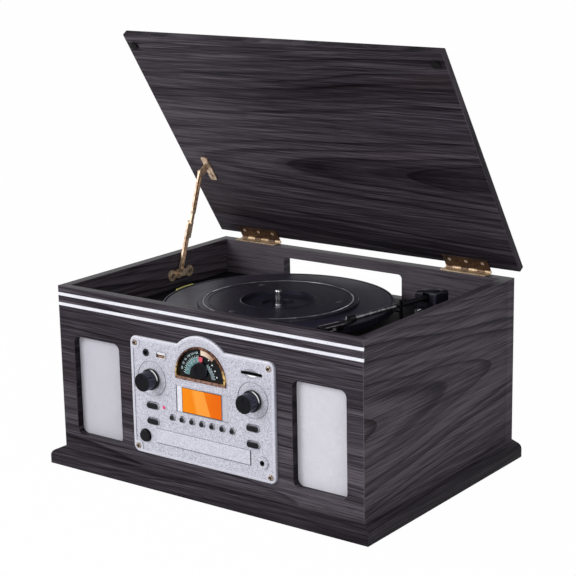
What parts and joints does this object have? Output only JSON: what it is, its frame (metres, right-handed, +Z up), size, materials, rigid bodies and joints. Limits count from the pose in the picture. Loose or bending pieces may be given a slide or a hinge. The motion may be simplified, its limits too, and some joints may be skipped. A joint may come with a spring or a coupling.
{
  "type": "turntable with radio cabinet",
  "caption": "Wooden box music centre with hinged lid on a folding stay, sunk record player, silver front panel with half-round dial and knobs, and two cloth speaker grilles.",
  "frame": {"origin": "centre of the flat underside", "axes": "+X to the right along the front, +Y to the back, +Z up"},
  "size_m": [0.446, 0.3343, 0.4893],
  "materials": {
    "dark_wood": "satin",
    "silver_trim": "bright",
    "deck_black": "matt",
    "bush_brass": "satin",
    "bright_steel": "polished",
    "platter_black": "satin",
    "motor_steel": "satin",
    "belt_rubber": "matt",
    "arm_black": "satin",
    "arm_tube": "satin",
    "fascia_silver": "hammered",
    "antique_brass": "aged",
    "hinge_brass": "satin",
    "dial_black": "printed",
    "pointer_red": "gloss",
    "knob_black": "satin",
    "button_black": "gloss",
    "led_red": "lit",
    "screen_orange": "lit",
    "socket_steel": "polished",
    "door_silver": "hammered",
    "steel_grey": "satin",
    "board_green": "satin",
    "terminal_black": "satin",
    "cloth_grey": "woven",
    "speaker_black": "matt",
    "bumper_rubber": "matt"
  },
  "bodies": {
    "cabinet": {"front_board": "dark_wood", "back_board": "dark_wood", "left_board": "dark_wood", "right_board": "dark_wood", "bottom_board": "dark_wood", "plinth_moulding": "dark_wood", "inlay_strips": "silver_trim", "deck_plate": "deck_black", "spindle_bush": "bush_brass", "drive_motor": "motor_steel", "drive_belt": "belt_rubber", "tonearm_base": "arm_black", "tonearm_rest": "arm_black", "fascia_plate": "fascia_silver", "dial_bezel": "antique_brass", "dial_face": "dial_black", "power_led": "led_red", "display_window": "screen_orange", "port_sockets": "socket_steel", "cd_mechanism": "steel_grey", "control_board": "board_green", "rear_terminal_plate": "terminal_black", "grille_cloths": "cloth_grey", "speaker_drivers": "speaker_black", "hinge_box_leaves": "hinge_brass", "cabinet_screws": "antique_brass", "stay_wall_bracket": "antique_brass"},
    "lid": {"lid_board": "dark_wood", "hinge_lid_leaves": "antique_brass", "lid_bumpers": "bumper_rubber", "lid_screws": "antique_brass", "stay_lid_bracket": "antique_brass"},
    "stay_lower": {"stay_lower_arm": "antique_brass"},
    "stay_upper": {"stay_upper_arm": "antique_brass"},
    "platter": {"platter": "platter_black", "spindle": "bright_steel"},
    "pulley": {"motor_pulley": "bush_brass"},
    "arm_housing": {"tonearm_yoke": "arm_black"},
    "tonearm": {"tonearm_tube": "arm_tube", "headshell": "arm_black", "stylus_cartridge": "arm_black"},
    "cue_lever": {"cue_lever": "bright_steel"},
    "speed_switch": {"speed_switch": "knob_black"},
    "cd_tray": {"cd_tray": "door_silver"},
    "tuning_knob": {"tuning_knob": "knob_black"},
    "dial_pointer": {"dial_pointer": "pointer_red"},
    "volume_knob": {"volume_knob": "knob_black"},
    "function_knob": {"function_knob": "knob_black"},
    "power_button": {"power_button": "button_black"},
    "pill_upper_left": {"pill_upper_left": "button_black"},
    "pill_lower_left": {"pill_lower_left": "button_black"},
    "pill_upper_right": {"pill_upper_right": "button_black"},
    "pill_lower_right": {"pill_lower_right": "button_black"},
    "preset_button_1": {"preset_button_1": "button_black"},
    "preset_button_2": {"preset_button_2": "button_black"},
    "preset_button_3": {"preset_button_3": "button_black"},
    "preset_button_4": {"preset_button_4": "button_black"},
    "preset_button_5": {"preset_button_5": "button_black"},
    "preset_button_6": {"preset_button_6": "button_black"},
    "preset_button_7": {"preset_button_7": "button_black"}
  },
  "joints": [
    {"name": "lid_hinge", "type": "hinge", "parent": "cabinet", "child": "lid", "pos_m": [0, 0.1563, 0.2145], "axis": [-1, 0, 0], "range_deg": [-56.8, 0]},
    {"name": "stay_lower_pivot", "type": "hinge", "parent": "cabinet", "child": "stay_lower", "pos_m": [-0.1944, 0.043, 0.188], "axis": [-1, 0, 0], "range_deg": [-115.6, 0.4]},
    {"name": "stay_upper_pivot", "type": "hinge", "parent": "lid", "child": "stay_upper", "pos_m": [-0.1914, 0.08457, 0.30858], "axis": [-1, 0, 0], "range_deg": [-0.4, 105.2]},
    {"name": "platter_spin", "type": "hinge", "parent": "cabinet", "child": "platter", "pos_m": [-0.0095, -0.0025, 0.186], "axis": [0, 0, -1], "continuous": true},
    {"name": "pulley_spin", "type": "hinge", "parent": "cabinet", "child": "pulley", "pos_m": [-0.0802, 0.0682, 0.178], "axis": [0, 0, -1], "continuous": true},
    {"name": "tonearm_swing", "type": "hinge", "parent": "cabinet", "child": "arm_housing", "pos_m": [0.152, 0.072, 0.19], "axis": [0, 0, -1], "range_deg": [0, 40]},
    {"name": "tonearm_lift", "type": "hinge", "parent": "arm_housing", "child": "tonearm", "pos_m": [0.152, 0.072, 0.2018], "axis": [-0.9881, 0.154, 0], "range_deg": [-0.5, 6]},
    {"name": "cue_lever_hinge", "type": "hinge", "parent": "cabinet", "child": "cue_lever", "pos_m": [0.1615, 0.046, 0.189], "axis": [1, 0, 0], "range_deg": [0, 35]},
    {"name": "speed_switch_turn", "type": "hinge", "parent": "cabinet", "child": "speed_switch", "pos_m": [0.165, -0.115, 0.174], "axis": [0, 0, -1], "range_deg": [-30, 30]},
    {"name": "tuning_turn", "type": "hinge", "parent": "cabinet", "child": "tuning_knob", "pos_m": [0, -0.1575, 0.1469], "axis": [0, 1, 0], "range_deg": [-240, 240]},
    {"name": "pointer_turn", "type": "hinge", "parent": "cabinet", "child": "dial_pointer", "pos_m": [0, -0.1554, 0.1469], "axis": [0, 1, 0], "range_deg": [-80, 80]},
    {"name": "volume_turn", "type": "hinge", "parent": "cabinet", "child": "volume_knob", "pos_m": [-0.0705, -0.165, 0.1256], "axis": [0, 1, 0], "range_deg": [0, 280]},
    {"name": "function_turn", "type": "hinge", "parent": "cabinet", "child": "function_knob", "pos_m": [0.0705, -0.165, 0.1256], "axis": [0, 1, 0], "range_deg": [-60, 60]},
    {"name": "preset_button_1_press", "type": "slide", "parent": "cabinet", "child": "preset_button_1", "axis": [0, 1, 0], "range_m": [0, 0.0012], "stiffness_N_per_m": 300, "springref_m": -0.001},
    {"name": "preset_button_2_press", "type": "slide", "parent": "cabinet", "child": "preset_button_2", "axis": [0, 1, 0], "range_m": [0, 0.0012], "stiffness_N_per_m": 300, "springref_m": -0.001},
    {"name": "preset_button_3_press", "type": "slide", "parent": "cabinet", "child": "preset_button_3", "axis": [0, 1, 0], "range_m": [0, 0.0012], "stiffness_N_per_m": 300, "springref_m": -0.001},
    {"name": "preset_button_4_press", "type": "slide", "parent": "cabinet", "child": "preset_button_4", "axis": [0, 1, 0], "range_m": [0, 0.0012], "stiffness_N_per_m": 300, "springref_m": -0.001},
    {"name": "preset_button_5_press", "type": "slide", "parent": "cabinet", "child": "preset_button_5", "axis": [0, 1, 0], "range_m": [0, 0.0012], "stiffness_N_per_m": 300, "springref_m": -0.001},
    {"name": "preset_button_6_press", "type": "slide", "parent": "cabinet", "child": "preset_button_6", "axis": [0, 1, 0], "range_m": [0, 0.0012], "stiffness_N_per_m": 300, "springref_m": -0.001},
    {"name": "preset_button_7_press", "type": "slide", "parent": "cabinet", "child": "preset_button_7", "axis": [0, 1, 0], "range_m": [0, 0.0012], "stiffness_N_per_m": 300, "springref_m": -0.001},
    {"name": "pill_upper_left_press", "type": "slide", "parent": "cabinet", "child": "pill_upper_left", "axis": [0, 1, 0], "range_m": [0, 0.0012], "stiffness_N_per_m": 300, "springref_m": -0.001},
    {"name": "pill_lower_left_press", "type": "slide", "parent": "cabinet", "child": "pill_lower_left", "axis": [0, 1, 0], "range_m": [0, 0.0012], "stiffness_N_per_m": 300, "springref_m": -0.001},
    {"name": "pill_upper_right_press", "type": "slide", "parent": "cabinet", "child": "pill_upper_right", "axis": [0, 1, 0], "range_m": [0, 0.0012], "stiffness_N_per_m": 300, "springref_m": -0.001},
    {"name": "pill_lower_right_press", "type": "slide", "parent": "cabinet", "child": "pill_lower_right", "axis": [0, 1, 0], "range_m": [0, 0.0012], "stiffness_N_per_m": 300, "springref_m": -0.001},
    {"name": "power_button_press", "type": "slide", "parent": "cabinet", "child": "power_button", "axis": [0, 1, 0], "range_m": [0, 0.0015], "stiffness_N_per_m": 300, "springref_m": -0.001},
    {"name": "cd_tray_slide", "type": "slide", "parent": "cabinet", "child": "cd_tray", "axis": [0, -1, 0], "range_m": [0, 0.13]}
  ],
  "couplings": [
    {"joint": "stay_lower_pivot", "follows": "lid_hinge", "ratio": 2.0294},
    {"joint": "stay_upper_pivot", "follows": "lid_hinge", "ratio": -1.8443},
    {"joint": "pulley_spin", "follows": "platter_spin", "ratio": 10},
    {"joint": "pointer_turn", "follows": "tuning_turn", "ratio": 0.33333}
  ]
}
